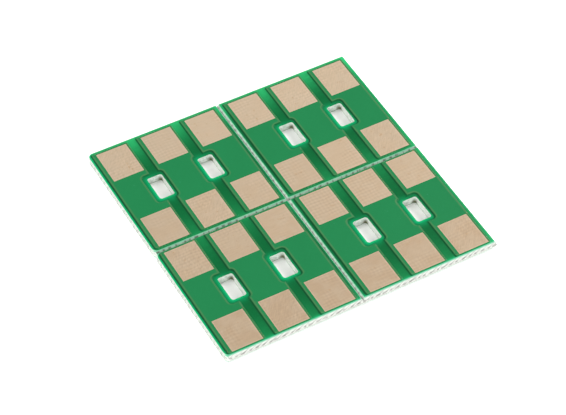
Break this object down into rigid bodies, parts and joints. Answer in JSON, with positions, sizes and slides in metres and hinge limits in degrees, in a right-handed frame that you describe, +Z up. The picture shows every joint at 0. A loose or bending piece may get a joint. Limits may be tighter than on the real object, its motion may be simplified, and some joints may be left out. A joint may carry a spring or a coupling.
{
  "type": "solder junction board panel",
  "caption": "Square snap-apart panel of small green boards, each with rectangular solder pads joined by buried copper strips and cable-tie slots between them, for joining motor leads.",
  "frame": {"origin": "centre of the underside, on the surface that the panel lies on", "axes": "+Z up out of the face with the pads, +X along a row of three pads towards the scored end, +Y along the copper strips"},
  "size_m": [0.0358, 0.036, 0.0012],
  "materials": {
    "glass_epoxy": "bare white glass-epoxy laminate, routed and scored edges with cut glass yarns",
    "copper_foil": null,
    "pad_finish": null,
    "green_solder_mask": "semi-gloss translucent green solder mask"
  },
  "bodies": {
    "root": {"fr4_laminate": "glass_epoxy", "board_a_copper_left": "copper_foil", "board_a_copper_middle": "copper_foil", "board_a_copper_right": "copper_foil", "board_a_pad_rear_left": "pad_finish", "board_a_pad_rear_middle": "pad_finish", "board_a_pad_rear_right": "pad_finish", "board_a_pad_front_left": "pad_finish", "board_a_pad_front_middle": "pad_finish", "board_a_pad_front_right": "pad_finish", "board_a_mask_top": "green_solder_mask", "board_a_mask_bottom": "green_solder_mask", "board_b_copper_left": "copper_foil", "board_b_copper_middle": "copper_foil", "board_b_copper_right": "copper_foil", "board_b_pad_rear_left": "pad_finish", "board_b_pad_rear_middle": "pad_finish", "board_b_pad_rear_right": "pad_finish", "board_b_pad_front_left": "pad_finish", "board_b_pad_front_middle": "pad_finish", "board_b_pad_front_right": "pad_finish", "board_b_mask_top": "green_solder_mask", "board_b_mask_bottom": "green_solder_mask", "board_c_copper_left": "copper_foil", "board_c_copper_middle": "copper_foil", "board_c_copper_right": "copper_foil", "board_c_pad_rear_left": "pad_finish", "board_c_pad_rear_middle": "pad_finish", "board_c_pad_rear_right": "pad_finish", "board_c_pad_front_left": "pad_finish", "board_c_pad_front_middle": "pad_finish", "board_c_pad_front_right": "pad_finish", "board_c_mask_top": "green_solder_mask", "board_c_mask_bottom": "green_solder_mask", "board_d_copper_left": "copper_foil", "board_d_copper_middle": "copper_foil", "board_d_copper_right": "copper_foil", "board_d_pad_rear_left": "pad_finish", "board_d_pad_rear_middle": "pad_finish", "board_d_pad_rear_right": "pad_finish", "board_d_pad_front_left": "pad_finish", "board_d_pad_front_middle": "pad_finish", "board_d_pad_front_right": "pad_finish", "board_d_mask_top": "green_solder_mask", "board_d_mask_bottom": "green_solder_mask"}
  },
  "joints": []
}
